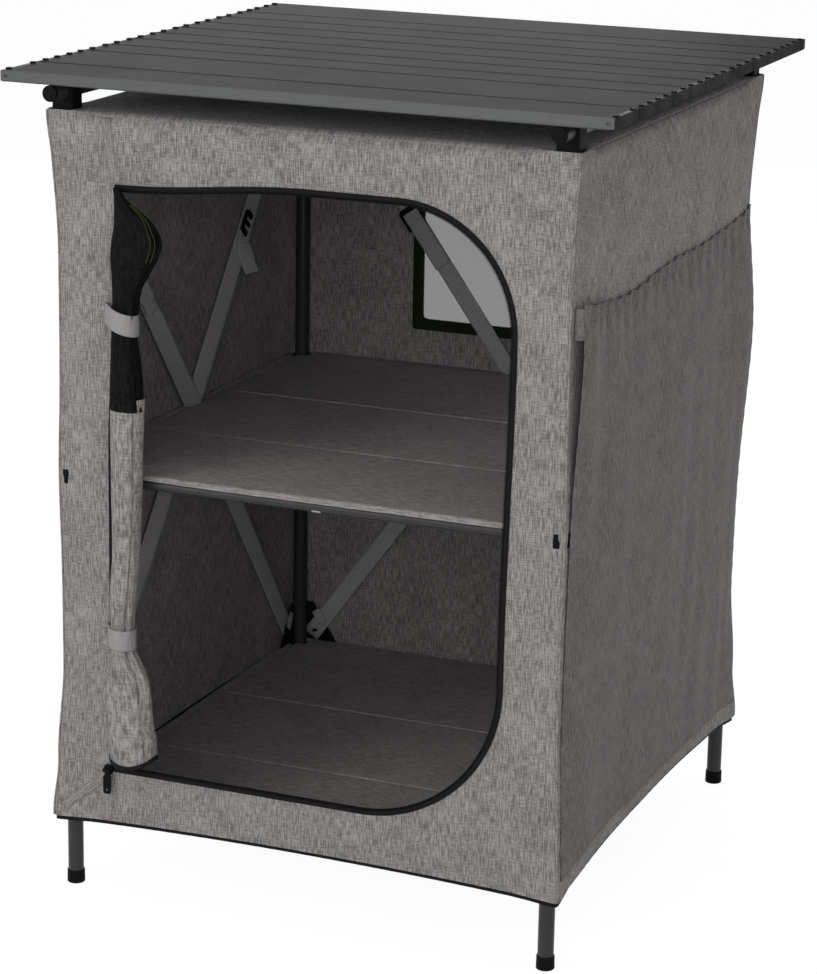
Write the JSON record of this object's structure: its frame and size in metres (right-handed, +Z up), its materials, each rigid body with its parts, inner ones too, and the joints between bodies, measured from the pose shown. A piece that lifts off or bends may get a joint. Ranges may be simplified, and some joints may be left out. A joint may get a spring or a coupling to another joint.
{
  "type": "camping cupboard",
  "caption": "Folding fabric cupboard on a tube frame, with a rolled-up zip door, two stiff shelves, side pockets, a mesh window and a roll-up slatted table top.",
  "frame": {"origin": "on the floor, under the centre of the table top", "axes": "+X to the right as the door is faced, +Y to the back, +Z up"},
  "size_m": [0.62, 0.63, 0.8415],
  "materials": {
    "frame_tube": "satin powder coat",
    "black_plastic": "moulded, fine grain",
    "cover_cloth": "woven, heather grey",
    "pocket_cloth": "woven, heather grey",
    "shelf_cloth": "woven, stretched over stiff board",
    "black_tape": "woven tape",
    "black_mesh": "open net",
    "window_net": "fine open net",
    "webbing": "ribbed webbing",
    "slat_metal": "satin anodised, anthracite",
    "bar_metal": "satin anodised, grey",
    "bright_metal": "polished"
  },
  "bodies": {
    "cupboard": {"leg_front_left": "frame_tube", "leg_front_right": "frame_tube", "leg_back_left": "frame_tube", "leg_back_right": "frame_tube", "rail_left": "frame_tube", "rail_right": "frame_tube", "cross_tubes": "frame_tube", "side_tubes": "frame_tube", "foot_caps": "black_plastic", "corner_blocks": "black_plastic", "leg_clips": "black_plastic", "rail_end_caps": "black_plastic", "strap_buckles": "black_plastic", "shelf_tube_ferrule": "bright_metal", "cover_front": "cover_cloth", "cover_back": "cover_cloth", "cover_left": "cover_cloth", "cover_right": "cover_cloth", "cover_roof": "cover_cloth", "cover_floor": "cover_cloth", "door_roll": "cover_cloth", "pocket_left": "pocket_cloth", "pocket_right": "pocket_cloth", "window_mesh": "window_net", "window_binding": "black_tape", "door_mesh_roll": "black_mesh", "door_ties": "webbing", "door_zip": "black_tape", "cross_straps_sides": "webbing", "cross_straps_back": "webbing", "upper_shelf_back_board": "shelf_cloth", "lower_shelf_back_board": "shelf_cloth"},
    "top_slat_01": {"slat_01": "slat_metal", "slat_caps_01": "black_plastic", "top_front_bar": "bar_metal"},
    "top_slat_02": {"slat_02": "slat_metal", "slat_caps_02": "black_plastic"},
    "top_slat_03": {"slat_03": "slat_metal", "slat_caps_03": "black_plastic"},
    "top_slat_04": {"slat_04": "slat_metal", "slat_caps_04": "black_plastic"},
    "top_slat_05": {"slat_05": "slat_metal", "slat_caps_05": "black_plastic"},
    "top_slat_06": {"slat_06": "slat_metal", "slat_caps_06": "black_plastic"},
    "top_slat_07": {"slat_07": "slat_metal", "slat_caps_07": "black_plastic"},
    "top_slat_08": {"slat_08": "slat_metal", "slat_caps_08": "black_plastic"},
    "top_slat_09": {"slat_09": "slat_metal", "slat_caps_09": "black_plastic"},
    "top_slat_10": {"slat_10": "slat_metal", "slat_caps_10": "black_plastic", "top_back_bar": "bar_metal"},
    "zip_slider_body": {"zip_slider": "black_plastic"},
    "zip_puller_body": {"zip_puller": "black_plastic"},
    "upper_shelf_middle": {"upper_shelf_middle_board": "shelf_cloth"},
    "upper_shelf_front": {"upper_shelf_front_board": "shelf_cloth"},
    "lower_shelf_middle": {"lower_shelf_middle_board": "shelf_cloth"},
    "lower_shelf_front": {"lower_shelf_front_board": "shelf_cloth"}
  },
  "joints": [
    {"name": "top_lift", "type": "slide", "parent": "cupboard", "child": "top_slat_01", "axis": [0, 0, 1], "range_m": [0, 0.25]},
    {"name": "top_fold_1", "type": "hinge", "parent": "top_slat_01", "child": "top_slat_02", "pos_m": [0, -0.243, 0.8378], "axis": [1, 0, 0], "range_deg": [0, 30]},
    {"name": "top_fold_2", "type": "hinge", "parent": "top_slat_02", "child": "top_slat_03", "pos_m": [0, -0.146, 0.8378], "axis": [1, 0, 0], "range_deg": [0, 30]},
    {"name": "top_fold_3", "type": "hinge", "parent": "top_slat_03", "child": "top_slat_04", "pos_m": [0, -0.09314, 0.8378], "axis": [1, 0, 0], "range_deg": [0, 30]},
    {"name": "top_fold_4", "type": "hinge", "parent": "top_slat_04", "child": "top_slat_05", "pos_m": [0, -0.04029, 0.8378], "axis": [1, 0, 0], "range_deg": [0, 30]},
    {"name": "top_fold_5", "type": "hinge", "parent": "top_slat_05", "child": "top_slat_06", "pos_m": [0, 0.01257, 0.8378], "axis": [1, 0, 0], "range_deg": [0, 30]},
    {"name": "top_fold_6", "type": "hinge", "parent": "top_slat_06", "child": "top_slat_07", "pos_m": [0, 0.06543, 0.8378], "axis": [1, 0, 0], "range_deg": [0, 30]},
    {"name": "top_fold_7", "type": "hinge", "parent": "top_slat_07", "child": "top_slat_08", "pos_m": [0, 0.11829, 0.8378], "axis": [1, 0, 0], "range_deg": [0, 30]},
    {"name": "top_fold_8", "type": "hinge", "parent": "top_slat_08", "child": "top_slat_09", "pos_m": [0, 0.17114, 0.8378], "axis": [1, 0, 0], "range_deg": [0, 30]},
    {"name": "top_fold_9", "type": "hinge", "parent": "top_slat_09", "child": "top_slat_10", "pos_m": [0, 0.224, 0.8378], "axis": [1, 0, 0], "range_deg": [0, 30]},
    {"name": "zip_run", "type": "slide", "parent": "cupboard", "child": "zip_slider_body", "axis": [1, 0, 0], "range_m": [0, 0.3]},
    {"name": "puller_swing", "type": "hinge", "parent": "zip_slider_body", "child": "zip_puller_body", "pos_m": [-0.211, -0.2972, 0.1355], "axis": [1, 0, 0], "range_deg": [-100, 0]},
    {"name": "upper_shelf_fold_back", "type": "hinge", "parent": "cupboard", "child": "upper_shelf_middle", "pos_m": [0, 0.075, 0.446], "axis": [1, 0, 0], "range_deg": [-60, 0]},
    {"name": "upper_shelf_fold_front", "type": "hinge", "parent": "upper_shelf_middle", "child": "upper_shelf_front", "pos_m": [0, -0.11, 0.446], "axis": [1, 0, 0], "range_deg": [-150, 0]},
    {"name": "lower_shelf_fold_back", "type": "hinge", "parent": "cupboard", "child": "lower_shelf_middle", "pos_m": [0, 0.075, 0.0955], "axis": [1, 0, 0], "range_deg": [-60, 0]},
    {"name": "lower_shelf_fold_front", "type": "hinge", "parent": "lower_shelf_middle", "child": "lower_shelf_front", "pos_m": [0, -0.11, 0.0955], "axis": [1, 0, 0], "range_deg": [-150, 0]}
  ],
  "couplings": [
    {"joint": "top_fold_2", "follows": "top_fold_1", "ratio": 1},
    {"joint": "top_fold_3", "follows": "top_fold_1", "ratio": 1},
    {"joint": "top_fold_4", "follows": "top_fold_1", "ratio": 1},
    {"joint": "top_fold_5", "follows": "top_fold_1", "ratio": 1},
    {"joint": "top_fold_6", "follows": "top_fold_1", "ratio": 1},
    {"joint": "top_fold_7", "follows": "top_fold_1", "ratio": 1},
    {"joint": "top_fold_8", "follows": "top_fold_1", "ratio": 1},
    {"joint": "top_fold_9", "follows": "top_fold_1", "ratio": 1}
  ]
}
